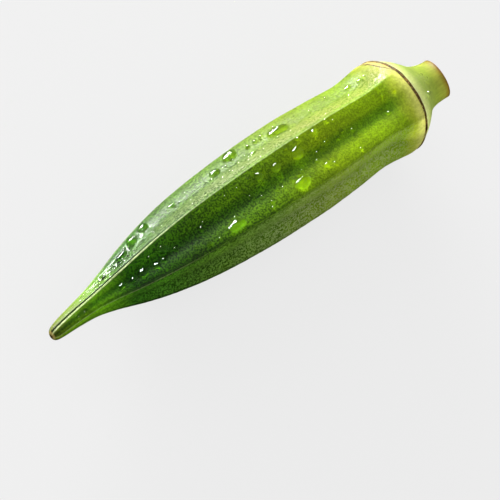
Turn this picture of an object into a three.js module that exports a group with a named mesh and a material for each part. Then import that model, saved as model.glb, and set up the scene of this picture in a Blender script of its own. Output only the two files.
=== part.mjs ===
import * as THREE from 'three';

// An okra pod, picked and cut: a six-ribbed seed capsule that narrows to a blunt beak and,
// past the scar that the calyx left, a flared receptacle with a short stub of stalk.
// It lies on its shoulder and two neighbouring ribs. Millimetres, +Z up, beak towards -X,
// stalk towards +X, origin under the middle of the pod.

// Driving dimensions, in millimetres and degrees
const ribCount = 6;
const furrowDepth = 0.2; // how far a furrow lies in, as a share of the crest radius
const flankBulge = 0.45; // 0 is an even slope from crest to furrow, 1 falls away fast at the crest
const crestSharpness = 0.985; // 0 is a sine wave, 1 a knife edge
const furrowSharpness = 0.65;
const shoulderFurrow = 0.08; // share of the furrow depth that is left at the calyx scar
const beakBend = 1.0; // sideways, at the very tip
const beakBendLength = 14;
const beakTwist = 9; // the ribs turn a little as they run out on the beak
const beakTwistLength = 36;
const scarGap = 0.3; // the sunken line of the calyx scar
const cutSlant = 17; // the knife went through the stalk at an angle
const stalkLean = 0.55; // sideways, at the cut
const restPitch = 2.0; // stalk end up, so that shoulder and ribs bear together
const restFlat = 0.15; // how far the skin gives where it bears
const stepsRound = 72;
const capsuleSteps = 52;
const stalkSteps = 14;

// Crest outline of the capsule: distance from the beak, radius over the ribs
const capsuleOutline = [
  [0, 0],
  [0.5, 1.05],
  [2.2, 1.55],
  [6, 2.0],
  [10, 2.55],
  [14, 3.6],
  [20, 5.45],
  [27, 7.15],
  [36, 8.55],
  [48, 9.5],
  [61, 9.85],
  [70, 9.55],
  [77.5, 9.1],
  [81.5, 9.45],
  [84.1, 9.82],
  [85.8, 9.85],
  [86.5, 9.6],
];
// Outline of the receptacle and the stalk, measured the same way
const stalkOutline = [
  [0, 9.5],
  [1.05, 9.15],
  [2.5, 8.3],
  [4.1, 7.1],
  [5.7, 5.9],
  [7.5, 4.95],
  [9.5, 4.4],
  [11.5, 4.2],
  [12.9, 4.2],
];
const capsuleLength = capsuleOutline.at(-1)[0];
const stalkStart = capsuleLength + scarGap;
const stalkEnd = stalkStart + stalkOutline.at(-1)[0];
const furrowGrows = [0, 20]; // the furrows reach full depth this far from the beak
const furrowFades = [79, capsuleLength];
const receptacleEnds = stalkStart + 5.3; // from here on the stalk is round
const stalkBends = stalkStart + 4.3; // lean and slant build up from here to the cut

const { degToRad, lerp, smoothstep } = THREE.MathUtils;

// A closed turned shape along +Y, with both ends on the axis
function turn(outline, start, steps) {
  const stations = outline.map(([along, radius]) => new THREE.Vector2(radius, start + along));
  const profile = new THREE.SplineCurve(stations).getPoints(steps);
  const onAxis = (point) => new THREE.Vector2(0, point.y);
  if (profile[0].x > 0) profile.unshift(onAxis(profile[0]));
  profile.push(onAxis(profile.at(-1)));
  return new THREE.LatheGeometry(profile, stepsRound);
}

// Radius at an angle from a crest, as a share of the crest radius
function ribSection(angle, depth) {
  const sine = Math.cos(ribCount * angle);
  const sharpness = lerp(furrowSharpness, crestSharpness, (1 + sine) / 2);
  const wave = Math.asin(sharpness * sine) / Math.asin(sharpness);
  const down = (1 - wave) / 2; // 0 on a crest, 1 in a furrow
  return 1 - depth * down * (1 + flankBulge * (1 - down));
}

function depthAt(along) {
  const grown = smoothstep(along, ...furrowGrows);
  const faded = (1 - shoulderFurrow) * smoothstep(along, ...furrowFades);
  const round = smoothstep(along, stalkStart, receptacleEnds);
  return furrowDepth * grown * (1 - faded) * (1 - round);
}

// Gives a turned shape its ribs, its bent and twisted beak and its slanting cut
function grow(geometry) {
  const position = geometry.attributes.position;
  for (let i = 0; i < position.count; i++) {
    const along = position.getY(i);
    const radius = Math.hypot(position.getX(i), position.getZ(i));
    const angle = Math.atan2(position.getX(i), position.getZ(i));
    const beak = Math.max(0, 1 - along / beakBendLength) ** 2;
    const twist = degToRad(beakTwist) * Math.max(0, 1 - along / beakTwistLength) ** 2;
    const toCut = smoothstep(along, stalkBends, stalkEnd);
    const r = radius * ribSection(angle + Math.PI / ribCount, depthAt(along));
    const side = r * Math.sin(angle + twist) + beakBend * beak + stalkLean * toCut;
    const up = r * Math.cos(angle + twist);
    position.setXYZ(i, side, along - up * toCut * Math.tan(degToRad(cutSlant)), up);
  }
  return geometry;
}

const capsule = grow(turn(capsuleOutline, 0, capsuleSteps));
const stalk = grow(turn(stalkOutline, stalkStart, stalkSteps));

// Lay both down: the axis along +X, pitched to the angle at which the pod balances
for (const geometry of [capsule, stalk]) {
  geometry.rotateZ(-Math.PI / 2);
  geometry.rotateY(-degToRad(restPitch));
}

// Centre the whole on X and Y, lay it on Z = 0 and press the skin flat where it bears
const bounds = new THREE.Box3();
for (const geometry of [capsule, stalk]) {
  geometry.computeBoundingBox();
  bounds.union(geometry.boundingBox);
}
const centre = bounds.getCenter(new THREE.Vector3());
for (const geometry of [capsule, stalk]) {
  geometry.translate(-centre.x, -centre.y, -bounds.min.z - restFlat);
  const position = geometry.attributes.position;
  for (let i = 0; i < position.count; i++) {
    position.setZ(i, Math.max(0, position.getZ(i)));
  }
  geometry.computeVertexNormals();
}

const okra = new THREE.Group();
const capsuleSkin = new THREE.MeshStandardMaterial({ color: '#5c8a1c', roughness: 0.4, metalness: 0 });
const capsuleMesh = new THREE.Mesh(capsule, capsuleSkin);
capsuleMesh.name = 'pod';
okra.add(capsuleMesh);

const stalkSkin = new THREE.MeshStandardMaterial({ color: '#a9bf5a', roughness: 0.55, metalness: 0 });
const stalkMesh = new THREE.Mesh(stalk, stalkSkin);
stalkMesh.name = 'stem_cap';
okra.add(stalkMesh);

export default okra;
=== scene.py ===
from functools import partial
from math import cos, pi, radians, sin, tan

import bpy
from mathutils import Matrix, Vector


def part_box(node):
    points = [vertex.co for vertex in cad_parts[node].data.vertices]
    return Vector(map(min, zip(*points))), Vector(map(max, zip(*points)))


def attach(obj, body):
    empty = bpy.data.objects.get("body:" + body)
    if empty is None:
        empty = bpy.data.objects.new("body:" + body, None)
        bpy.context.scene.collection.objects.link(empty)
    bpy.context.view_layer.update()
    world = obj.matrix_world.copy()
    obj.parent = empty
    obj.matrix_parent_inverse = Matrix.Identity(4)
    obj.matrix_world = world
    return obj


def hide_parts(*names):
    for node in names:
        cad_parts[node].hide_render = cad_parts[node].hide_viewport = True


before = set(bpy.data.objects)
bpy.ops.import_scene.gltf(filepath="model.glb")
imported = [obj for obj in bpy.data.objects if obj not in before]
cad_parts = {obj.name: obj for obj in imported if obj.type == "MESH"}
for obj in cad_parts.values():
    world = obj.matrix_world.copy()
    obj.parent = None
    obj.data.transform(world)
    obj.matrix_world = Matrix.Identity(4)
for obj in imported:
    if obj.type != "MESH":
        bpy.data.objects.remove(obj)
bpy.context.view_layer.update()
scene = bpy.context.scene
mm = 0.001
degree = radians(1)


def linearColour(hexText):
    # sRGB hex to the linear colour that shaders use
    parts = [int(hexText[i : i + 2], 16) / 255 for i in (1, 3, 5)]
    return [c / 12.92 if c <= 0.04045 else ((c + 0.055) / 1.055) ** 2.4 for c in parts] + [1]


def plug(socket, value):
    # a node stands for its first live output; anything else but an output is the socket's own value
    if isinstance(value, bpy.types.Node):
        value = next(output for output in value.outputs if output.enabled)
    if isinstance(value, bpy.types.NodeSocket):
        socket.id_data.links.new(value, socket)
    else:
        socket.default_value = value


def addNode(tree, kind, *values, sockets={}, **settings):
    # a kind in capitals is an operation of the Math node, and ADD and MULTIPLY take any number of values
    # values fill the node's live inputs in order, sockets by name
    if kind in ("ADD", "MULTIPLY") and len(values) > 2:
        values = addNode(tree, kind, *values[:-1]), values[-1]
    if kind.isupper():
        kind, settings = "ShaderNodeMath", {"operation": kind}
    node = tree.nodes.new(kind)
    for name, value in settings.items():
        setattr(node, name, value)
    live = [socket for socket in node.inputs if socket.enabled]
    named = {socket.name: socket for socket in reversed(live)}
    for socket, value in zip(live, values):
        plug(socket, value)
    for name, value in sockets.items():
        plug(named[name], value)
    return node


def profile(tree, value, stops, steps="SMOOTHSTEP"):
    # runs through (place, level) stops and is flat beyond them; a place or a level may be an output
    place, level = stops[-1]
    following = level
    for before, start in reversed(stops[:-1]):
        if start != following:
            ends = (before, place, start, level)
            level = addNode(tree, "ShaderNodeMapRange", value, *ends, interpolation_type=steps)
        place, following = before, start
    return level


# places in profiles are mm from the beak or over the skin, degrees from straight up, or else plain numbers
placeUnits = {
    "along": mm, "reach": mm, "arc": mm, "fromLine": mm, "inFlap": mm, "fromRim": mm, "inBrownEdge": mm,
    "toCut": mm, "around": degree, "fromTop": degree,
}


def levels(tree, at, profiles, *names, steps="SMOOTHSTEP"):
    # the product of named profiles; each is the name of what it follows, then its stops
    found = []
    for name in names:
        measure, *stops = profiles[name]
        unit = placeUnits.get(measure, 1)
        found.append(profile(tree, at[measure], [(place * unit, level) for place, level in stops], steps))
    return addNode(tree, "MULTIPLY", 1, *found)


def fillRamp(ramp, colours):
    # colours are (position, sRGB hex)
    stops = ramp.color_ramp.elements
    while len(stops) < len(colours):
        stops.new(1)
    for stop, (at, colour) in zip(stops, colours):
        stop.position = at
        stop.color = linearColour(colour)


def paint(tree, colour, layers):
    # layers are (share, sRGB hex), each laid over what is there
    for share, top in layers:
        colour = addNode(tree, "ShaderNodeMix", share, colour, linearColour(top), data_type="RGBA")
    return colour


def newMaterial(name):
    material = bpy.data.materials.new(name)
    material.use_nodes = True
    return material, material.node_tree, material.node_tree.nodes["Principled BSDF"]


def setShader(shader, values):
    for name, value in values.items():
        plug(shader.inputs[name], value)


def newTree(name, inputs, output):
    # inputs are (name, socket type without its prefix)
    tree = bpy.data.node_groups.new(name, "GeometryNodeTree")
    for label, kind in inputs:
        tree.interface.new_socket(label, in_out="INPUT", socket_type="NodeSocket" + kind)
    tree.interface.new_socket(output, in_out="OUTPUT", socket_type="NodeSocketGeometry")
    return tree, addNode(tree, "NodeGroupInput").outputs


def endTree(tree, body, skin):
    body = addNode(tree, "GeometryNodeRealizeInstances", body)
    body = addNode(tree, "GeometryNodeSetMaterial", body, sockets={"Material": skin})
    addNode(tree, "NodeGroupOutput", body)


def storeAll(tree, body, values, **settings):
    # values are kept on the mesh by name
    for name, value in values.items():
        stored = {"Name": name, "Value": value}
        body = addNode(tree, "GeometryNodeStoreNamedAttribute", body, sockets=stored, **settings)
    return body


def plainMesh(host, tree, values, name):
    # runs the tree on the host object and returns the result as a plain mesh
    modifier = host.modifiers.new(name, "NODES")
    modifier.node_group = tree
    for item in tree.interface.items_tree:
        if item.in_out == "INPUT" and item.name in values:
            modifier[item.identifier] = values[item.name]
    graph = bpy.context.evaluated_depsgraph_get()
    evaluated = host.evaluated_get(graph)
    mesh = bpy.data.meshes.new_from_object(evaluated, preserve_all_data_layers=True, depsgraph=graph)
    host.modifiers.remove(modifier)
    mesh.name = name
    return mesh


def newObject(name, data):
    thing = bpy.data.objects.new(name, data)
    scene.collection.objects.link(thing)
    return thing


# in these dictionaries a key in words, such as "Wave Length", is also an input of the Geometry Nodes tree
capsule = {
    "outline": [  # distance from the beak, radius over the ribs, mm
        (0, 0), (0.5, 1.05), (2.2, 1.55), (6, 2.0), (10, 2.55), (14, 3.6), (20, 5.45), (27, 7.15),
        (36, 8.55), (48, 9.5), (61, 9.85), (70, 9.55), (77.5, 9.1), (81.5, 9.45), (84.1, 9.82),
        (85.8, 9.85), (86.5, 9.6), (86.7, 9.0), (86.7, 0),
    ],
    "Rings": 420,
    "Steps Round": 216,
    "Waviness": 0.16 * mm,
    "Wave Length": 7 * mm,
    "Keel Height": 0.1 * mm,
    "Seed": 4.0,
}
stalk = {
    "outline": [
        (86.4, 0), (86.4, 8.9), (86.6, 9.5), (86.8, 9.5), (87.85, 9.15), (89.3, 8.3), (90.9, 7.1),
        (92.5, 5.9), (94.3, 4.95), (96.3, 4.4), (98.3, 4.2), (99.55, 4.2), (99.7, 4.05), (99.68, 3.7),
        (99.55, 0),
    ],
    "Rings": 200,
    "Steps Round": 144,
    "Waviness": 0.12 * mm,
    "Wave Length": 5 * mm,
    "Keel Height": 0.0,
    "Seed": 9.0,
}
scar = {  # the rough rim that the calyx left, a closed loop turned round the axis
    "outline": [
        (86.65, 9.0), (86.32, 9.2), (86.2, 9.62), (86.4, 9.76), (86.7, 9.76), (87.0, 9.58), (87.0, 9.2),
        (86.65, 9.0),
    ],
    "Rings": 24,
    "Steps Round": 480,
    "Waviness": 0.5 * mm,
    "Wave Length": 2.2 * mm,
    "Keel Height": 0.0,
    "Seed": 3.0,
}
growth = {  # what the three bodies share
    "Ribs": 6,
    "Furrow Depth": 0.2,  # of the radius
    "Flank Bulge": 0.45,
    "Crest Sharpness": 0.99,  # 1 would be a knife edge
    "Furrow Sharpness": 0.65,
    "Shoulder Furrow": 0.08,  # what is left of a furrow's depth at the scar
    "Furrows Grow To": 20 * mm,
    "Furrows Fade From": 79 * mm,
    "Scar": 86.5 * mm,
    "Round From": 92.1 * mm,
    "Keel From": 0.93,  # how far up a flank the keel starts
    "Keel Fineness": 8.0,  # its breaks are this much closer than the waves
    "Least Keel": 0.35,  # of its height, where it is lowest
    "Full Waves At": 5 * mm,  # radius; a thinner end is smoother
    "Beak Bend": 1.0 * mm,
    "Beak Bend Length": 14 * mm,
    "Beak Twist": 9 * degree,
    "Beak Twist Length": 36 * mm,
    "Slant From": 91.1 * mm,
    "Cut": 99.7 * mm,
    "Cut Slant": tan(17 * degree),
    "Stalk Lean": 0.55 * mm,
}
bodySizes = ["Waviness", "Wave Length", "Keel Height", "Seed"]
curveSteps = 24  # between two points of an outline
poleGap = 0.002 * mm  # points closer than this are one
restPitch = 2 * degree


def ribbedRadius(tree, given, along, angle, outer):
    add = partial(addNode, tree)
    # a rounded zigzag round the section: 0 on a crest, 1 in a furrow, with a furrow straight up
    wave = add("COSINE", add("MULTIPLY_ADD", angle, given["Ribs"], pi))
    sharpness = add("ShaderNodeMapRange", wave, -1, 1, given["Furrow Sharpness"], given["Crest Sharpness"])
    zigzag = add("DIVIDE", add("ARCSINE", add("MULTIPLY", wave, sharpness)), add("ARCSINE", sharpness))
    furrow = add("ShaderNodeMapRange", zigzag, 1, -1, 0, 1)
    crest = add("SUBTRACT", 1, furrow)
    drop = add("MULTIPLY", furrow, add("MULTIPLY_ADD", crest, given["Flank Bulge"], 1))

    # how deep the furrows are along the body
    grown = profile(tree, along, [(0, 0), (given["Furrows Grow To"], 1)])
    shoulder = [(given["Furrows Fade From"], 1), (given["Scar"], given["Shoulder Furrow"])]
    faded = profile(tree, along, shoulder)
    rounded = profile(tree, along, [(given["Scar"], 1), (given["Round From"], 0)])
    ribbed = add("MULTIPLY", grown, faded, rounded)
    loss = add("MULTIPLY", ribbed, given["Furrow Depth"], drop)
    radius = add("MULTIPLY", outer, add("SUBTRACT", 1, loss))

    # uneven growth: slow waves over the faces, and a thin broken keel along each crest
    across = add("MULTIPLY", add("SINE", angle), radius)
    up = add("MULTIPLY", add("COSINE", angle), radius)
    spot = {"Vector": add("ShaderNodeCombineXYZ", along, across, up), "W": given["Seed"]}
    frequency = add("DIVIDE", 1, given["Wave Length"])
    waves = {**spot, "Scale": frequency, "Detail": 2.5, "Roughness": 0.45}
    breaks = {**spot, "Scale": add("MULTIPLY", frequency, given["Keel Fineness"]), "Detail": 1.5}
    slow = add("ShaderNodeTexNoise", sockets=waves, noise_dimensions="4D")
    quick = add("ShaderNodeTexNoise", sockets=breaks, noise_dimensions="4D")
    firm = add("ShaderNodeMapRange", outer, 0, given["Full Waves At"], 0, 1)
    uneven = add("MULTIPLY", add("SUBTRACT", slow, 0.5), given["Waviness"], firm)
    ridge = profile(tree, crest, [(given["Keel From"], 0), (1, 1)])
    keel = add("MULTIPLY", ridge, given["Keel Height"], add("ADD", quick, given["Least Keel"]))
    radius = add("ADD", radius, add("MULTIPLY_ADD", keel, ribbed, uneven))
    return radius, furrow


def bentPlace(tree, given, along, angle, radius):
    # the beak bends and twists, the stalk leans and is cut on the slant
    add = partial(addNode, tree)
    toTip = add("ShaderNodeMapRange", along, 0, given["Beak Bend Length"], 1, 0)
    bend = add("MULTIPLY", toTip, toTip, given["Beak Bend"])
    toTip = add("ShaderNodeMapRange", along, 0, given["Beak Twist Length"], 1, 0)
    turned = add("MULTIPLY_ADD", add("MULTIPLY", toTip, toTip), given["Beak Twist"], angle)
    toCut = profile(tree, along, [(given["Slant From"], 0), (given["Cut"], 1)])
    side = add("MULTIPLY_ADD", add("SINE", turned), radius, bend)
    side = add("MULTIPLY_ADD", toCut, given["Stalk Lean"], side)
    height = add("MULTIPLY", add("COSINE", turned), radius)
    slanted = add("MULTIPLY", toCut, given["Cut Slant"], height)
    return add("ShaderNodeCombineXYZ", add("SUBTRACT", along, slanted), add("MULTIPLY", side, -1), height)


def growTree():
    tree, given = newTree(
        "growRibbedBody",
        [("Outline", "Geometry"), ("Rings", "Int"), ("Steps Round", "Int")]
        + [(name, "Float") for name in [*growth, *bodySizes]]
        + [("Skin", "Material")],
        "Body",
    )
    add = partial(addNode, tree)
    # the outline is sampled evenly, and each sample becomes one ring of the grid
    smooth = add("GeometryNodeCurveSplineType", given["Outline"], spline_type="CATMULL_ROM")
    fine = add("GeometryNodeSetSplineResolution", smooth, sockets={"Resolution": curveSteps})
    grid = add("GeometryNodeMeshGrid", 1, 1, given["Rings"], add("ADD", given["Steps Round"], 1))
    at = add("ShaderNodeSeparateXYZ", add("GeometryNodeInputPosition")).outputs
    angle = add("MULTIPLY", at["Y"], -2 * pi)  # this way round the faces point outwards
    sample = add("GeometryNodeSampleCurve", fine, sockets={"Factor": add("ADD", at["X"], 0.5)})
    found = add("ShaderNodeSeparateXYZ", sample.outputs["Position"]).outputs
    along, outer = found["X"], found["Z"]
    radius, furrow = ribbedRadius(tree, given, along, angle, outer)
    place = bentPlace(tree, given, along, angle, radius)

    body = storeAll(tree, grid, {"along": along, "furrow": furrow, "reach": outer})
    # the angle is kept at the face corners, where it can jump from half a turn to minus half a turn
    body = storeAll(tree, body, {"around": angle}, domain="CORNER")
    body = add("GeometryNodeSetPosition", body, sockets={"Position": place})
    body = add("GeometryNodeMergeByDistance", body, sockets={"Distance": poleGap})
    body = add("GeometryNodeSetShadeSmooth", body)
    endTree(tree, body, given["Skin"])
    return tree


def grow(name, shape, tree, skin):
    curve = bpy.data.curves.new(name + "Outline", "CURVE")
    curve.dimensions = "3D"
    line = curve.splines.new("POLY")
    line.points.add(len(shape["outline"]) - 1)
    for point, (along, radius) in zip(line.points, shape["outline"]):
        point.co = (along * mm, 0, radius * mm, 1)
    host = newObject(name + "Outline", curve)
    mesh = plainMesh(host, tree, {**growth, **shape, "Skin": skin}, name)
    bpy.data.objects.remove(host)
    return newObject(name, mesh)


okraLooks = {
    # share of the way from the beak to the scar, and the colour of a face there
    "greens": [
        (0.00, "#4c560c"), (0.045, "#4a6c06"), (0.12, "#548808"), (0.20, "#1f4e01"), (0.27, "#2b5b03"),
        (0.33, "#2e5503"), (0.55, "#4b6f04"), (0.74, "#6c8704"), (0.88, "#799b06"), (0.945, "#749408"),
        (0.97, "#96a42a"), (0.988, "#bcbf5c"), (1.00, "#b8b457"),
    ],
    "furrowShadeGreen": "#b0c886",  # multiplied over the face colour in the furrows: partly the skin's deeper green, partly painted shade
    # a painted highlight on the sunny side of the beak
    "paleTip": "#a9ad5c",
    "bloom": "#96977a",  # a pale veil: painted sheen on the sunny side and painted reflection on the shaded one, over some waxy bloom and mist
    "stalkEndBloomAndSheen": "#a09c5c",  # the veil's colour nearer the stalk on the sunny side
    "rib": "#cddb9a",  # the fine raised line on each rib, with a painted highlight on the sunny side's first rib
    "grooveDark": "#0f2004",  # dark, in the groove beside it
    "scarTan": "#b5a05c",
    "scarBrown": "#443009",
    # sizes of the patterns; real grain is finer, and is drawn as coarse as it needs to show
    "blotch": 3.2 * mm,
    "speckle": 0.7 * mm,
    "grain": 0.33 * mm,
    "grainDepth": 0.03 * mm,
    "lineShift": 0.08 * mm,  # of the pale line from the middle of the rib
    "lineHeight": 0.5,  # of the grain's
    "grooveShare": 0.95,
    "grooveChange": 10 * degree,  # the grooves' look changes over this angle on each side of the top
    "bloomAndSheenShare": 0.27,
    "flapReach": 1.3 * mm,  # how far the torn skin beside the scar reaches down the pod
    "flapStray": 0.5 * mm,
    "brownReach": 0.5 * mm,  # how far the scar's brown reaches over the skin
    "brownStray": 0.4 * mm,
    "wetSaturation": 1.15,
    "leastFilm": 0.015,
    "filmGrain": 0.3,  # how much of the grain shows in the film
    "filmDepth": 0.26 * mm,
    "roughness": 0.48,
    "soakedRoughness": 0.9,  # the water over it has the gloss
    "filmRoughness": 0.08,
    "specular": 0.042,
    "waterIOR": 1.333,
    "sheen": 0.08,
    "sheenTint": "#d2e380",
    "sheenRoughness": 0.42,

    # profiles: the sunny side has negative angles, and the shaded side positive ones
    "sunny": ("around", (-150, 0), (-95, 1), (-36, 1), (-29, 0)),
    "bandStray": ("share", (0.85, 0.06), (0.95, 0.025)),  # how far the edges between the greens stray
    "furrowAcross": ("furrow", (0.5, 0), (1, 1)),
    "furrowAlong": ("along", (81, 1), (86, 0)),
    "furrowRound": ("fromTop", (29, 1), (36, 0.2)),
    # brighter or darker than the greens: painted fill light on the shaded side, painted shade on the sunny
    # side towards the stalk and on the lit flank near the beak, then random tone
    "shadedRound": ("around", (30, 0), (38, 1), (50, 1), (62, 0.25), (120, 0.25), (165, 0)),
    "shadedAlong": ("along", (45, 0.85), (76, 1)),
    "tannedAlong": ("along", (45, -0.08), (76, -0.3)),
    "dampRound": ("around", (0, 0), (8, -0.32), (30, -0.32), (34, 0)),
    "dampAlong": ("along", (14, 0), (19, 1), (28, 1), (42, 0)),
    "blotchTone": ("blotch", (0.25, 0.86), (0.75, 1.14)),
    "speckleTone": ("speckle", (0.25, 0.8), (0.75, 1.2)),
    "gritTone": ("grain", (0.35, -1), (0.65, 1)),
    "gritAlong": ("along", (12, 0.24), (22, 0.6), (34, 0.6), (68, 0.24), (80, 0.24), (85, 0.072)),
    # the pale veil: painted sheen, thick from the first rib to the next furrow on the sunny side, and
    # painted reflection with some waxy bloom on the shaded side
    "sunnyBloomRound": ("around", (-66, 0.22), (-52, 1), (-46, 1), (-38, 1.3)),
    "shadedBloomRound": ("around", (30, 0), (36, 0.95), (120, 0.95), (165, 0)),
    "shadedBloomAlong": ("along", (30, 0.3), (60, 1), (79.5, 1), (85, 0.3)),
    "bloomGrain": ("grain", (0.42, 0), (0.58, 2)),
    "bloomAlong": ("along", (12, 0.15), (46, 1)),
    "ripeAlong": ("along", (40, 0), (76, 1)),
    "paleTipAlong": ("along", (5, 0.2), (16, 0)),
    # the pale line on a rib, painted brightest as a highlight on the sunny side's first rib, and the dark
    # groove beside it
    "ribAlong": ("along", (20, 1), (40, 0.6), (76, 0.6), (84, 0)),
    "lineAcross": ("fromLine", (0.07, 1), (0.16, 0)),
    "lineBreaks": ("speckle", (0.3, 0.45), (0.55, 1)),
    "lineRound": ("around", (-75, 0.2), (-60, 1), (-10, 1), (10, 0.2)),
    "linePaint": ("along", (20, 0.92), (34, 0.4)),
    "grooveAcross": ("arc", (-0.54, 0), (-0.42, 1), (-0.12, 1), (-0.05, 0)),
    "sunnyGroove": ("along", (20, 1), (36, 0)),
    "shadedGroove": ("along", (6, 0.25), (18, 0.6), (40, 0.6), (75, 0.2)),
    # the torn flap and the brown edge beside the scar, and what the style left on the tip
    "flapRound": ("around", (-120, 0), (-92, 1), (-52, 1), (-24, 0)),
    "flapSkin": ("inFlap", (0, 0), (0.1, 0.8)),
    "flapRim": ("fromRim", (0.08, 1), (0.22, 0)),
    "brownRound": ("around", (-75, 0), (-35, 1), (0, 1), (40, 0)),
    "brownEdge": ("inBrownEdge", (0, 0), (0.3, 0.9)),
    "styleRing": ("along", (0.2, 0.7), (0.45, 0)),
    "styleDot": ("along", (0.06, 1), (0.2, 0)),
    # painted light under a drop: the skin painted darker on the sunny side and brighter on the shaded one,
    # and a painted caustic where the drop gathers the light
    "sunnyUnder": ("along", (26, 0.85), (42, 0.75), (62, 0.75), (76, 0.9)),
    "shadedUnder": ("along", (26, 0.75), (40, 1.3)),
    "bentLight": ("lens", (-0.45, 0.55), (-0.1, 1), (0.25, 1), (0.5, 1.38)),
    # the film of water on the beak and the shoulder, and how the speckle breaks it up
    "beakFilmAlong": ("along", (6, 0), (13, 1), (21, 1), (30, 0.12)),
    "beakFilmRound": ("around", (-84, 0), (-70, 1)),
    "shoulderFilmAlong": ("along", (78, 0), (80, 0.6), (83, 0.6), (84.5, 0)),
    "shoulderFilmRound": ("around", (-58, 0), (-44, 1)),
    "filmSpecks": ("speckle", (0.37, 0), (0.46, 1)),
}


def skinMeasures(tree):
    # what the skin's patterns follow: values kept on the mesh, and noises
    add = partial(addNode, tree)
    at = {}
    for name in ("along", "furrow", "around", "reach", "wet", "lens"):
        at[name] = add("ShaderNodeAttribute", attribute_name=name).outputs["Fac"]
    place = add("ShaderNodeTexCoord").outputs["Object"]
    for name, detail in (("blotch", 3), ("speckle", 2), ("grain", 1)):
        pattern = {"Scale": 1 / okraLooks[name], "Detail": detail}
        at[name] = add("ShaderNodeTexNoise", place, sockets=pattern)
    at["share"] = add("DIVIDE", at["along"], growth["Scar"])
    at["fromTop"] = add("ABSOLUTE", at["around"])
    at["dry"] = add("SUBTRACT", 1, at["wet"])
    at["sunny"] = levels(tree, at, okraLooks, "sunny")
    return at


def okraGreen(tree, at):
    # the greens along the pod, with painted shade and a deeper green in the furrows, most of all the top
    # one, and an uneven edge to the cream shoulder
    add = partial(addNode, tree)
    level = partial(levels, tree, at, okraLooks)
    stray = add("MULTIPLY_ADD", add("SUBTRACT", at["blotch"], 0.5), level("bandStray"), at["share"])
    colour = add("ShaderNodeValToRGB", stray)
    fillRamp(colour, okraLooks["greens"])
    furrowShade = level("furrowAcross", "furrowAlong", "furrowRound")
    furrowShadeGreen = linearColour(okraLooks["furrowShadeGreen"])
    colour = add("ShaderNodeMix", furrowShade, colour, furrowShadeGreen, data_type="RGBA", blend_type="MULTIPLY")

    # painted light and shade: paler on the shaded side towards the stalk, darker on the sunny one, and
    # darkest on the lit flank near the beak
    shaded = level("shadedRound", "shadedAlong")
    sunnyShade = add("MULTIPLY", at["sunny"], level("tannedAlong"))
    tone = add("ADD", 1, shaded, sunnyShade, level("dampRound", "dampAlong"))
    mottled = level("blotchTone", "speckleTone", steps="LINEAR")
    grit = add("MULTIPLY_ADD", level("gritTone", "gritAlong"), at["dry"], 1)
    tone = add("MULTIPLY", tone, mottled, grit)
    return add("ShaderNodeHueSaturation", sockets={"Value": tone, "Color": colour})


def bloomAndSheenOver(tree, at, colour):
    # a pale veil painted over the greens: painted sheen on the sunny side and painted reflection on the
    # shaded side, with some waxy bloom and mist; grainy and thin, yellower towards the stalk
    add = partial(addNode, tree)
    level = partial(levels, tree, at, okraLooks)
    shaded = level("shadedBloomRound", "shadedBloomAlong")
    bloom = add("MULTIPLY_ADD", at["sunny"], level("sunnyBloomRound"), shaded)
    bloom = add("MULTIPLY", bloom, level("bloomGrain", "bloomAlong"), okraLooks["bloomAndSheenShare"], at["dry"])
    stalkEndVeil = add("MULTIPLY", at["sunny"], level("ripeAlong"))
    veilColour = paint(tree, linearColour(okraLooks["bloom"]), [(stalkEndVeil, okraLooks["stalkEndBloomAndSheen"])])
    return add("ShaderNodeMix", bloom, colour, veilColour, data_type="RGBA")


def ribLines(tree, at):
    # along each rib a fine pale line, with a painted highlight on the sunny side's first rib, and a dark
    # groove beside it, strong on the beak
    add = partial(addNode, tree)
    level = partial(levels, tree, at, okraLooks)
    halfFace = pi / growth["Ribs"]
    fromRib = add("WRAP", add("SUBTRACT", at["around"], halfFace), halfFace, -halfFace)
    at["arc"] = add("MULTIPLY", fromRib, at["reach"])
    at["fromLine"] = add("ABSOLUTE", add("SUBTRACT", at["arc"], okraLooks["lineShift"]))
    line = level("lineAcross", "ribAlong", "lineBreaks", "lineRound")
    change = okraLooks["grooveChange"]
    sides = [(-change, level("sunnyGroove")), (change, level("shadedGroove"))]
    groove = add("MULTIPLY", level("grooveAcross", "ribAlong"), profile(tree, at["around"], sides))
    return line, groove


def scarEdge(tree, at):
    # beside the scar a flap of torn skin, tan with a brown edge, and the dry brown edge of the scar itself
    looks = okraLooks
    add = partial(addNode, tree)
    level = partial(levels, tree, at, looks)
    toScar = add("SUBTRACT", growth["Scar"], at["along"])
    stray = add("SUBTRACT", at["speckle"], 0.5)
    flapStray = add("MULTIPLY", stray, looks["flapStray"])
    flap = add("MULTIPLY_ADD", level("flapRound"), looks["flapReach"], flapStray)
    at["inFlap"] = add("SUBTRACT", flap, toScar)
    at["fromRim"] = add("ABSOLUTE", at["inFlap"])
    brownStray = add("MULTIPLY", stray, looks["brownStray"])
    brown = add("MULTIPLY_ADD", level("brownRound"), looks["brownReach"], brownStray)
    at["inBrownEdge"] = add("SUBTRACT", brown, toScar)
    return [
        (level("flapSkin", "flapRound"), looks["scarTan"]),
        (level("flapRim", "flapRound"), looks["scarBrown"]),
        (level("brownEdge"), looks["scarBrown"]),
    ]


def waterFilm(tree, at, groove):
    # a thin film of water: whole on the beak's sunny side, a patch on the shoulder, faint specks elsewhere
    add = partial(addNode, tree)
    level = partial(levels, tree, at, okraLooks)
    beak = level("beakFilmAlong", "beakFilmRound")
    film = add("MAXIMUM", beak, level("shoulderFilmAlong", "shoulderFilmRound"))
    least = okraLooks["leastFilm"]
    film = add("MULTIPLY_ADD", add("MULTIPLY", film, at["sunny"]), 1 - least, least)
    return add("MULTIPLY", film, level("filmSpecks"), add("SUBTRACT", at["dry"], groove))


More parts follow.
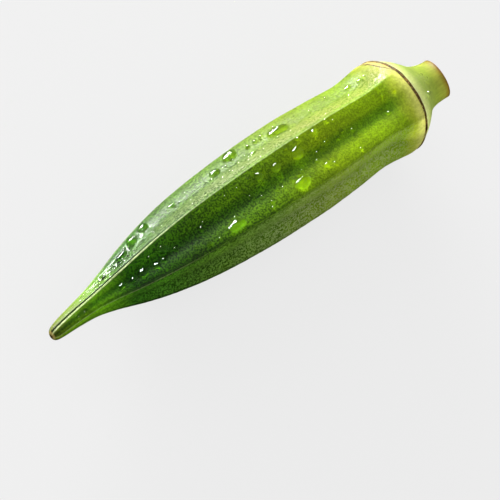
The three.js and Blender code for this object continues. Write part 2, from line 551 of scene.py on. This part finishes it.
def okraSkin():
    # okra epidermis, a thin waxy plant skin with a short down: satin, deep green, pale where seen edge on
    looks = okraLooks
    material, tree, shader = newMaterial("okraSkin")
    add = partial(addNode, tree)
    at = skinMeasures(tree)
    level = partial(levels, tree, at, looks)
    line, groove = ribLines(tree, at)
    colour = bloomAndSheenOver(tree, at, okraGreen(tree, at))
    colour = paint(tree, colour, [
        (add("MULTIPLY", at["sunny"], level("paleTipAlong")), looks["paleTip"]),
        (add("MULTIPLY", line, level("linePaint")), looks["rib"]),
        (add("MULTIPLY", groove, looks["grooveShare"]), looks["grooveDark"]),
        *scarEdge(tree, at),
        (level("styleRing"), looks["scarTan"]),
        (level("styleDot"), looks["scarBrown"]),
    ])
    # painted light under the drops: darker on the sunny side, brighter on the shaded one, with a painted
    # caustic
    under = add("ShaderNodeMapRange", at["sunny"], 0, 1, level("shadedUnder"), level("sunnyUnder"))
    under = add("MULTIPLY", under, level("bentLight"))
    soaked = {"Saturation": looks["wetSaturation"], "Value": under, "Fac": at["wet"], "Color": colour}
    rough = add("ShaderNodeMapRange", at["wet"], 0, 1, looks["roughness"], looks["soakedRoughness"])
    height = add("MULTIPLY_ADD", add("SUBTRACT", line, groove), looks["lineHeight"], at["grain"])
    filmHeight = add("MULTIPLY_ADD", at["grain"], looks["filmGrain"], at["speckle"])
    grainBump = {"Distance": looks["grainDepth"], "Height": height}
    filmBump = {"Distance": looks["filmDepth"], "Height": filmHeight}
    setShader(shader, {
        "Base Color": add("ShaderNodeHueSaturation", sockets=soaked),
        "Roughness": add("MAXIMUM", rough, groove),
        "Normal": add("ShaderNodeBump", sockets=grainBump),
        "Specular IOR Level": looks["specular"],
        "Coat Weight": waterFilm(tree, at, groove),
        "Coat Roughness": looks["filmRoughness"],
        "Coat IOR": looks["waterIOR"],
        "Coat Normal": add("ShaderNodeBump", sockets=filmBump),
        "Sheen Weight": looks["sheen"],
        "Sheen Roughness": looks["sheenRoughness"],
        "Sheen Tint": linearColour(looks["sheenTint"]),
    })
    return material


stalkLooks = {
    # share of the way from the scar to the cut
    "greens": [
        (0.0, "#c8cc90"), (0.1, "#b3be6e"), (0.28, "#8ca044"), (0.7, "#84962e"), (0.88, "#8e9430"),
        (0.95, "#857820"), (1.0, "#664710"),
    ],
    "cutFace": "#b9b98a",
    "cutEdge": "#7c5214",
    "mottle": 1.4 * mm,
    "fibre": 0.35 * mm,
    "fibreStretch": 0.18,  # scale of the noise along the fibres, as a share of that across them
    "fibreDepth": 0.02 * mm,
    "bandStray": 0.1,  # how far the edges between the greens stray
    "shadeMiddle": 110 * degree,  # of the paler side, from straight up
    "shadeEdges": (55 * degree, 110 * degree),  # from that middle, where the paler side fades and ends
    "sunnyShadeTone": 0.92,
    "roughness": 0.45,
    "specular": 0.1,
    # profiles
    "shadedTone": ("share", (0.1, 2), (0.55, 1.5)),
    "mottleTone": ("mottle", (0.25, 0.88), (0.75, 1.12)),
    "fibreTone": ("fibre", (0.25, 0.86), (0.75, 1.14)),
    "cutAlong": ("toCut", (0.12, 1), (0.2, 0)),
    "pithAcross": ("reach", (3.2, 1), (3.9, 0)),
    "pithMottle": ("mottle", (0.35, 1), (0.6, 0.6)),
}


def stalkSkin():
    # young plant stalk: smooth, pale, finely streaked along its length, browned and dry at the cut
    looks = stalkLooks
    material, tree, shader = newMaterial("stalkSkin")
    add = partial(addNode, tree)
    at = {}
    for name in ("along", "reach", "around"):
        at[name] = add("ShaderNodeAttribute", attribute_name=name).outputs["Fac"]
    place = add("ShaderNodeTexCoord").outputs["Object"]
    stretched = add("ShaderNodeMapping", place, sockets={"Scale": (looks["fibreStretch"], 1, 1)})
    at["mottle"] = add("ShaderNodeTexNoise", place, sockets={"Scale": 1 / looks["mottle"], "Detail": 3})
    at["fibre"] = add("ShaderNodeTexNoise", stretched, sockets={"Scale": 1 / looks["fibre"], "Detail": 2})
    at["share"] = add("ShaderNodeMapRange", at["along"], growth["Scar"], growth["Cut"], 0, 1)
    at["toCut"] = add("SUBTRACT", growth["Cut"], at["along"])
    level = partial(levels, tree, at, looks, steps="LINEAR")

    stray = add("MULTIPLY_ADD", add("SUBTRACT", at["mottle"], 0.5), looks["bandStray"], at["share"])
    colour = add("ShaderNodeValToRGB", stray)
    fillRamp(colour, looks["greens"])
    # painted light: the shaded side painted paler, most of all beside the scar, and the sunny side a little
    # darker
    fromShade = add("ABSOLUTE", add("WRAP", add("SUBTRACT", at["around"], looks["shadeMiddle"]), pi, -pi))
    start, end = looks["shadeEdges"]
    side = profile(tree, fromShade, [(start, level("shadedTone")), (end, looks["sunnyShadeTone"])], "LINEAR")
    tone = add("MULTIPLY", level("mottleTone", "fibreTone"), side)
    colour = add("ShaderNodeHueSaturation", sockets={"Value": tone, "Color": colour})
    # the cut: pale pith inside a browned rim
    pith = add("MULTIPLY", level("cutAlong", "pithMottle"), level("pithAcross", steps="SMOOTHSTEP"))
    colour = paint(tree, colour, [(level("cutAlong"), looks["cutEdge"]), (pith, looks["cutFace"])])
    fibreBump = {"Distance": looks["fibreDepth"], "Height": at["fibre"]}
    setShader(shader, {
        "Base Color": colour,
        "Normal": add("ShaderNodeBump", sockets=fibreBump),
        "Roughness": looks["roughness"],
        "Specular IOR Level": looks["specular"],
    })
    return material


scarLooks = {
    "brown": "#3f2d08",
    "tan": "#8a6a2c",
    "crumb": 0.5 * mm,
    "crumbDepth": 0.06 * mm,
    "roughness": 0.85,
    "specular": 0.1,
    "tanCrumbs": ("crumb", (0.5, 0), (0.68, 1)),
}


def driedScar():
    # dead, cracked plant tissue: matt dark brown with lighter crumbs
    looks = scarLooks
    material, tree, shader = newMaterial("driedScar")
    add = partial(addNode, tree)
    place = add("ShaderNodeTexCoord").outputs["Object"]
    crumb = add("ShaderNodeTexNoise", place, sockets={"Scale": 1 / looks["crumb"], "Detail": 3})
    light = levels(tree, {"crumb": crumb}, looks, "tanCrumbs", steps="LINEAR")
    crumbBump = {"Distance": looks["crumbDepth"], "Height": crumb}
    setShader(shader, {
        "Base Color": paint(tree, linearColour(looks["brown"]), [(light, looks["tan"])]),
        "Normal": add("ShaderNodeBump", sockets=crumbBump),
        "Roughness": looks["roughness"],
        "Specular IOR Level": looks["specular"],
    })
    return material


water = {
    "drops": [  # mm from the beak, degrees from straight up, length, width, height in mm, turn in degrees
        # the sunny side
        (26, -77, 2.2, 1.4, 0.75, -5), (22.5, -74, 2.0, 1.9, 0.83, 0), (19, -66, 3.0, 1.2, 0.67, 8),
        (33, -73, 1.5, 1.0, 0.33, 0), (44, -71, 2.3, 1.4, 0.7, -6), (49, -79, 3.4, 2.1, 1.0, 10),
        (60, -68, 4.9, 1.8, 1.0, -8), (52, -57, 1.6, 1.2, 0.5, 0), (53, -74, 1.0, 0.8, 0.58, 0),
        (55, -75, 1.0, 0.8, 0.58, 0), (57, -77, 0.9, 0.7, 0.42, 0), (60, -76, 0.9, 0.8, 0.5, 0),
        (79, -72, 1.8, 1.1, 0.37, 0), (81.5, -66, 1.1, 0.9, 0.33, 0),
        # the top furrow, near the beak
        (25, -10, 2.0, 1.7, 0.5, 0), (19.6, 7, 2.2, 1.4, 0.75, 0), (22.3, 9, 1.4, 1.0, 0.58, 0),
        (17.4, 8, 1.2, 0.8, 0.5, 0), (15.4, 6, 1.6, 0.7, 0.37, 0), (24, 7, 0.9, 0.7, 0.5, 0),
        # the top furrow's flanks, the larger drops
        (39, 20, 4.4, 1.9, 0.83, 0), (55, 19, 3.6, 2.4, 1.0, 0), (48, -17, 1.9, 1.8, 0.83, 0),
        (52, -15, 2.0, 1.9, 1.0, 0), (57.5, -15, 2.7, 2.4, 1.08, -10), (63, -24, 1.6, 1.3, 0.67, 0),
        (61.5, 17, 1.4, 1.2, 0.58, 0),
        # and the small ones
        (27, 2, 1.0, 0.7, 0.42, -30), (32.5, 21, 1.1, 0.8, 0.5, 0), (39.5, 11, 0.7, 0.7, 0.42, 0),
        (33, -4, 0.8, 0.7, 0.42, 0), (56.5, 7, 0.7, 0.7, 0.42, 0), (47, 24, 0.8, 0.7, 0.42, 0),
        (47.5, 18, 0.7, 0.7, 0.42, 0), (50, 9, 0.7, 0.6, 0.42, 0), (53.5, 10, 0.6, 0.6, 0.33, 0),
        (59, -27, 0.8, 0.7, 0.42, 0), (66.5, -27, 0.8, 0.7, 0.42, 0), (60.5, 7, 0.8, 0.7, 0.42, 0),
        (70, 24, 0.8, 0.7, 0.42, 0), (80, 7, 0.9, 0.8, 0.37, 0), (83, -12, 0.9, 0.9, 0.4, 0),
        (80.5, -18, 0.9, 0.8, 0.37, 0), (80.5, -26, 0.7, 0.7, 0.33, 0), (64.5, -12, 0.9, 0.8, 0.5, 0),
        (71, -2, 0.9, 0.8, 0.5, 0),
        # the stalk
        (93, -7, 1.0, 0.9, 0.75, 0), (90.5, 15, 1.0, 0.9, 0.75, 0), (92.2, -16, 0.9, 0.8, 0.67, 0),
    ],
    "dropFaces": (32, 20),  # round a drop, and from its bottom to its top
    "beadFaces": (8, 5),
    "raisedShare": 0.25,  # wax and down keep a drop's middle this share of its radius above the skin
    "Ripple": 0.22,  # how far an outline strays, as a share of the drop's width
    "Ripple Length": 1.6 * mm,
    "rayStart": 30 * mm,  # from the pod's axis, well outside the skin
    "rayLength": 40 * mm,
    "deepest": 1.2 * mm,  # no drop's ball reaches further into the skin
    "wetFrom": 0.04 * mm,  # where it reaches this far in, the skin starts to look wet
    "wetTo": 0.25 * mm,  # and where it reaches this far, the skin looks fully wet
}
mist = {
    "Beads Per Square Metre": 0.3e6,
    "Smallest": 0.26 * mm,
    "Largest": 0.8 * mm,
    "Seed": 7,
    "rareness": 4,  # of large beads, a power
    "flatness": 0.667,  # height as a share of the width
    "patchBeads": 11.0,  # how many more lie on the wet side of the beak, as a multiple
    # profiles: none lie under the pod or on the shoulder's end, and most on the sunny side
    "beadsAlong": ("along", (4, 0), (5, 1), (84.2, 1), (84.6, 0)),
    "beadsRound": ("around", (-78, 0), (-74, 1.6), (-38, 1.6), (-28, 0.5), (24, 0.5), (34, 0)),
    "patchAlong": ("along", (8, 0), (14, 1), (22, 1), (28, 0)),
    "patchRound": ("around", (-85, 0), (-70, 1), (-46, 1), (-38, 0)),
}
waterInputs = [("Ripple", "Float"), ("Ripple Length", "Float"), ("Water", "Material")]


def clearWater():
    # water on a waxy skin: clear, and smooth enough to mirror the lights
    material, _, shader = newMaterial("clearWater")
    setShader(shader, {
        "Base Color": linearColour("#ffffff"),
        "Roughness": 0.02,
        "IOR": okraLooks["waterIOR"],
        "Transmission Weight": 1,
    })
    return material


def layWater(tree, given, sites, faces):
    # one drop on each site: a flattened ball set in the skin; sites carry facing, long, wide, high and turn
    add = partial(addNode, tree)
    site = {name: add("GeometryNodeInputNamedAttribute", name) for name in ("long", "wide", "high", "turn")}
    facing = add("GeometryNodeInputNamedAttribute", "facing", data_type="FLOAT_VECTOR")
    raised = water["raisedShare"]
    halfFoot = 0.5 / (1 - raised ** 2) ** 0.5  # from its width at the skin to the ball's radius
    ball = add("GeometryNodeMeshUVSphere", *faces, 1)
    ball = add("GeometryNodeTransform", ball, sockets={"Translation": (0, 0, raised)})
    upright = add("FunctionNodeAlignRotationToVector", sockets={"Vector": facing}, axis="Z")
    alongPod = {"Rotation": upright, "Vector": (1, 0, 0)}
    inLine = add("FunctionNodeAlignRotationToVector", sockets=alongPod, axis="X", pivot_axis="Z")
    spin = add("FunctionNodeAxisAngleToRotation", (0, 0, 1), site["turn"])
    turned = add("FunctionNodeRotateRotation", inLine, spin, rotation_space="LOCAL")
    size = add(
        "ShaderNodeCombineXYZ",
        add("MULTIPLY", site["long"], halfFoot),
        add("MULTIPLY", site["wide"], halfFoot),
        add("MULTIPLY", site["high"], 1 / (1 + raised)),
    )
    laid = {"Instance": ball, "Rotation": turned, "Scale": size}
    body = add("GeometryNodeInstanceOnPoints", sites, sockets=laid)
    body = add("GeometryNodeRealizeInstances", body)
    # its outline strays a little
    ripples = {"Scale": add("DIVIDE", 1, given["Ripple Length"]), "Detail": 1}
    noise = add("ShaderNodeTexNoise", add("GeometryNodeInputPosition"), sockets=ripples)
    stray = add("ShaderNodeVectorMath", noise.outputs["Color"], (0.5, 0.5, 0.5), operation="SUBTRACT")
    reach = add("MULTIPLY", given["Ripple"], site["wide"])
    stray = add("ShaderNodeVectorMath", stray, sockets={"Scale": reach}, operation="SCALE")
    body = add("GeometryNodeSetPosition", body, sockets={"Offset": stray})
    body = add("GeometryNodeSetShadeSmooth", body)
    endTree(tree, body, given["Water"])


def dropTree():
    # sites come as vertices at (distance along, angle from straight up, 0), and a ray finds the skin there
    inputs = [("Sites", "Geometry"), ("Pod", "Object"), ("Stalk", "Object"), *waterInputs]
    tree, given = newTree("layDrops", inputs, "Drops")
    add = partial(addNode, tree)
    pod = add("GeometryNodeObjectInfo", given["Pod"]).outputs["Geometry"]
    stalk = add("GeometryNodeObjectInfo", given["Stalk"]).outputs["Geometry"]
    skin = add("GeometryNodeJoinGeometry", pod)
    plug(skin.inputs[0], stalk)
    at = add("ShaderNodeSeparateXYZ", add("GeometryNodeInputPosition")).outputs
    sideways = add("MULTIPLY", add("SINE", at["Y"]), -1)
    out = add("ShaderNodeCombineXYZ", 0, sideways, add("COSINE", at["Y"]))
    axis = add("ShaderNodeCombineXYZ", at["X"], 0, 0)
    start = add("ShaderNodeVectorMath", out, [water["rayStart"]] * 3, axis, operation="MULTIPLY_ADD")
    down = add("ShaderNodeVectorMath", out, (-1, -1, -1), operation="MULTIPLY")
    reach = {"Source Position": start, "Ray Direction": down, "Ray Length": water["rayLength"]}
    ray = add("GeometryNodeRaycast", skin, sockets=reach, data_type="FLOAT").outputs
    sites = storeAll(tree, given["Sites"], {"facing": ray["Hit Normal"]}, data_type="FLOAT_VECTOR")
    sites = add("GeometryNodeSetPosition", sites, sockets={"Position": ray["Hit Position"]})
    layWater(tree, given, sites, water["dropFaces"])
    return tree


def mistTree():
    # small beads scattered over the wet faces
    inputs = [("Skin", "Geometry"), ("Beads Per Square Metre", "Float"), ("Smallest", "Float"),
              ("Largest", "Float"), ("Seed", "Int"), *waterInputs]
    tree, given = newTree("scatterBeads", inputs, "Beads")
    add = partial(addNode, tree)
    at = {name: add("GeometryNodeInputNamedAttribute", name) for name in ("along", "around")}
    level = partial(levels, tree, at, mist, steps="LINEAR")
    more = add("MULTIPLY_ADD", level("patchAlong", "patchRound"), mist["patchBeads"], 1)
    density = add("MULTIPLY", given["Beads Per Square Metre"], level("beadsAlong", "beadsRound"), more)
    scatter = {"Density": density, "Seed": given["Seed"]}
    spots = add("GeometryNodeDistributePointsOnFaces", given["Skin"], sockets=scatter).outputs
    draw = add("FunctionNodeRandomValue", 0.0, 1.0, sockets={"Seed": given["Seed"]})
    large = add("POWER", draw, mist["rareness"])
    size = add("ShaderNodeMapRange", large, 0, 1, given["Smallest"], given["Largest"])
    high = add("MULTIPLY", size, mist["flatness"])
    sites = storeAll(tree, spots["Points"], {"facing": spots["Normal"]}, data_type="FLOAT_VECTOR")
    sites = storeAll(tree, sites, {"long": size, "wide": size, "high": high, "turn": draw})
    layWater(tree, given, sites, water["beadFaces"])
    return tree


def wetTree():
    # marks the skin that lies under water: a ray down from it meets the bottom of a drop from inside
    inputs = [("Body", "Geometry"), ("Drops", "Object"), ("Skin", "Material")]
    tree, given = newTree("markWetSkin", inputs, "Marked")
    add = partial(addNode, tree)
    drops = add("GeometryNodeObjectInfo", given["Drops"]).outputs["Geometry"]
    down = add("ShaderNodeVectorMath", add("GeometryNodeInputNormal"), (-1, -1, -1), operation="MULTIPLY")
    reach = {"Ray Direction": down, "Ray Length": water["deepest"]}
    ray = add("GeometryNodeRaycast", drops, sockets=reach, data_type="FLOAT").outputs
    depth = profile(tree, ray["Hit Distance"], [(water["wetFrom"], 0), (water["wetTo"], 1)], "LINEAR")
    wet = add("MULTIPLY", ray["Is Hit"], depth)
    # a drop bends light away from its sunny edge and gathers it at the far one; the skin paints this as a
    # caustic
    tip = add("ShaderNodeVectorMath", ray["Hit Normal"], down, operation="SUBTRACT")
    away = add("ShaderNodeSeparateXYZ", tip).outputs["Y"]
    lens = add("MULTIPLY", away, ray["Is Hit"], -1)
    endTree(tree, storeAll(tree, given["Body"], {"wet": wet, "lens": lens}), given["Skin"])
    return tree


def layDrops(skin):
    rows = water["drops"]
    sites = bpy.data.meshes.new("dropSites")
    sites.from_pydata([(along * mm, angle * degree, 0) for along, angle, *_ in rows], [], [])
    for column, name, unit in ((2, "long", mm), (3, "wide", mm), (4, "high", mm), (5, "turn", degree)):
        stored = sites.attributes.new(name, "FLOAT", "POINT").data
        for item, row in zip(stored, rows):
            item.value = row[column] * unit
    host = newObject("dropSites", sites)
    values = {**water, "Pod": pod, "Stalk": stem, "Water": skin}
    mesh = plainMesh(host, dropTree(), values, "water_drops")
    bpy.data.objects.remove(host)
    return newObject("water_drops", mesh)


def scatterBeads(skin):
    host = newObject("beadSites", pod.data.copy())
    mesh = plainMesh(host, mistTree(), {**water, **mist, "Water": skin}, "water_beads")
    bpy.data.objects.remove(host)
    return newObject("water_beads", mesh)


def layDown(pieces):
    # from the grown pose, beak at the origin and axis level, to the pose in which the pod rests
    tilt = Matrix.Rotation(-restPitch, 4, "Y")
    for piece in pieces:
        piece.data.transform(tilt)
    low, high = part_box("pod")
    points = [vertex.co for vertex in pod.data.vertices]
    shift = Vector((low.x - min(p.x for p in points), 0, high.z - max(p.z for p in points)))
    for piece in pieces:
        piece.data.transform(Matrix.Translation(shift))
        # the skin gives a little where it bears on the surface
        for vertex in piece.data.vertices:
            vertex.co.z = max(vertex.co.z, 0)
        piece.data.update()


bodyTree = growTree()
podSkin = okraSkin()
pod = grow("okra_pod", capsule, bodyTree, podSkin)
stem = grow("okra_stem", stalk, bodyTree, stalkSkin())
rim = grow("calyx_scar", scar, bodyTree, driedScar())
print("pod and stalk grown", len(pod.data.vertices), len(stem.data.vertices))
clear = clearWater()
drops = layDrops(clear)
beads = scatterBeads(clear)
pod.data = plainMesh(pod, wetTree(), {"Drops": drops, "Skin": podSkin}, "okra_pod")
print("water laid", len(drops.data.polygons), len(beads.data.polygons))
layDown([pod, stem, rim, drops, beads])
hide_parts("pod")
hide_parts("stem_cap")
for piece in (pod, stem, rim, drops, beads):
    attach(piece, "root")
print("pod laid down")

studio = {  # metres, watts and degrees
    "boardHalf": 4.0,
    "boardGap": 0.02 * mm,  # under the pod, so that no faces meet
    "boardGrey": 0.08,
    "boardRoughness": 0.9,
    "boardSpecular": 0.1,
    "boardGlow": 0.755,
    "keyPower": 34.0,
    "keySize": (0.9, 0.25),
    "keyAngle": 83,  # from straight up, towards the pod's +Y side
    "keyTurn": 12,  # towards the stalk
    "glintPower": 190.0,
    "glintSize": (1.1, 0.8),
    "glintAngle": 72,
    "lightDistance": 1.1,
    "room": 0.86,
    "roomMirrored": 0.2,  # the same room as glossy things see it
}
camera = {
    "lens": 147.2,
    "sensor": 36,
    "clip": (0.01, 20),
    "distance": 0.380,
    "lookedAt": (2.26 * mm, 0, 8.97 * mm),
    "elevation": 56.9,  # degrees, and so is the roll
    "roll": -56.62,
    "picture": 500,  # px across
    "offset": (17.43, 62.95),  # of the point looked at from the picture's middle, in px
}


def addFloor():
    half, level = studio["boardHalf"], -studio["boardGap"]
    corners = [(-half, -half, level), (half, -half, level), (half, half, level), (-half, half, level)]
    mesh = bpy.data.meshes.new("floor")
    mesh.from_pydata(corners, [], [(0, 1, 2, 3)])
    # matt white board: its glow is only seen, and lights nothing
    material, tree, shader = newMaterial("mattWhiteBoard")
    seen = addNode(tree, "ShaderNodeLightPath").outputs["Is Camera Ray"]
    setShader(shader, {
        "Base Color": [studio["boardGrey"]] * 3 + [1],
        "Roughness": studio["boardRoughness"],
        "Specular IOR Level": studio["boardSpecular"],
        "Emission Color": linearColour("#ffffff"),
        "Emission Strength": addNode(tree, "MULTIPLY", seen, studio["boardGlow"]),
    })
    mesh.materials.append(material)
    newObject("floor", mesh)


def addLight(name, size, power, fromUp, turn):
    light = bpy.data.lights.new(name, "AREA")
    light.shape = "RECTANGLE"
    light.size, light.size_y = size
    light.energy = power
    lamp = newObject(name, light)
    a, t = fromUp * degree, turn * degree
    away = Vector((sin(t) * sin(a), cos(t) * sin(a), cos(a)))
    lamp.location = away * studio["lightDistance"]
    lamp.rotation_euler = away.to_track_quat("Z", "Y").to_euler()
    return lamp


def addCamera():
    # it looks from the beak's end, turned so that the point looked at is off the picture's middle
    data = bpy.data.cameras.new("camera")
    data.lens = camera["lens"]
    data.sensor_width = camera["sensor"]
    data.clip_start, data.clip_end = camera["clip"]
    e, roll = camera["elevation"] * degree, camera["roll"] * degree
    back = Vector((-cos(e), 0, sin(e)))
    right, up = Vector((0, -1, 0)), Vector((sin(e), 0, cos(e)))
    rolledRight = right * cos(roll) - up * sin(roll)
    rolledUp = up * cos(roll) + right * sin(roll)
    focal = camera["lens"] / camera["sensor"] * camera["picture"]
    dx, dy = camera["offset"]
    forward = (-back * focal - rolledRight * dx - rolledUp * dy).normalized()
    rolledRight = (rolledRight - forward * rolledRight.dot(forward)).normalized()
    turn = Matrix((rolledRight, rolledRight.cross(forward), -forward)).transposed().to_4x4()
    view = newObject("camera", data)
    view.matrix_world = Matrix.Translation(Vector(camera["lookedAt"]) + back * camera["distance"]) @ turn
    scene.camera = view


def addWorld():
    # an even pale room
    world = bpy.data.worlds.new("paleRoom")
    world.use_nodes = True
    tree = world.node_tree
    background = tree.nodes["Background"]
    mirrored = addNode(tree, "ShaderNodeLightPath").outputs["Is Glossy Ray"]
    plug(background.inputs["Color"], linearColour("#ffffff"))
    brightness = addNode(tree, "ShaderNodeMapRange", mirrored, 0, 1, studio["room"], studio["roomMirrored"])
    plug(background.inputs["Strength"], brightness)
    scene.world = world


addFloor()
addLight("keySoftbox", studio["keySize"], studio["keyPower"], studio["keyAngle"], studio["keyTurn"])
glint = addLight("glintCard", studio["glintSize"], studio["glintPower"], studio["glintAngle"], 0)
glint.visible_diffuse = False
glint.visible_transmission = False
addCamera()
addWorld()
scene.view_settings.view_transform = "Standard"
print("stage set")
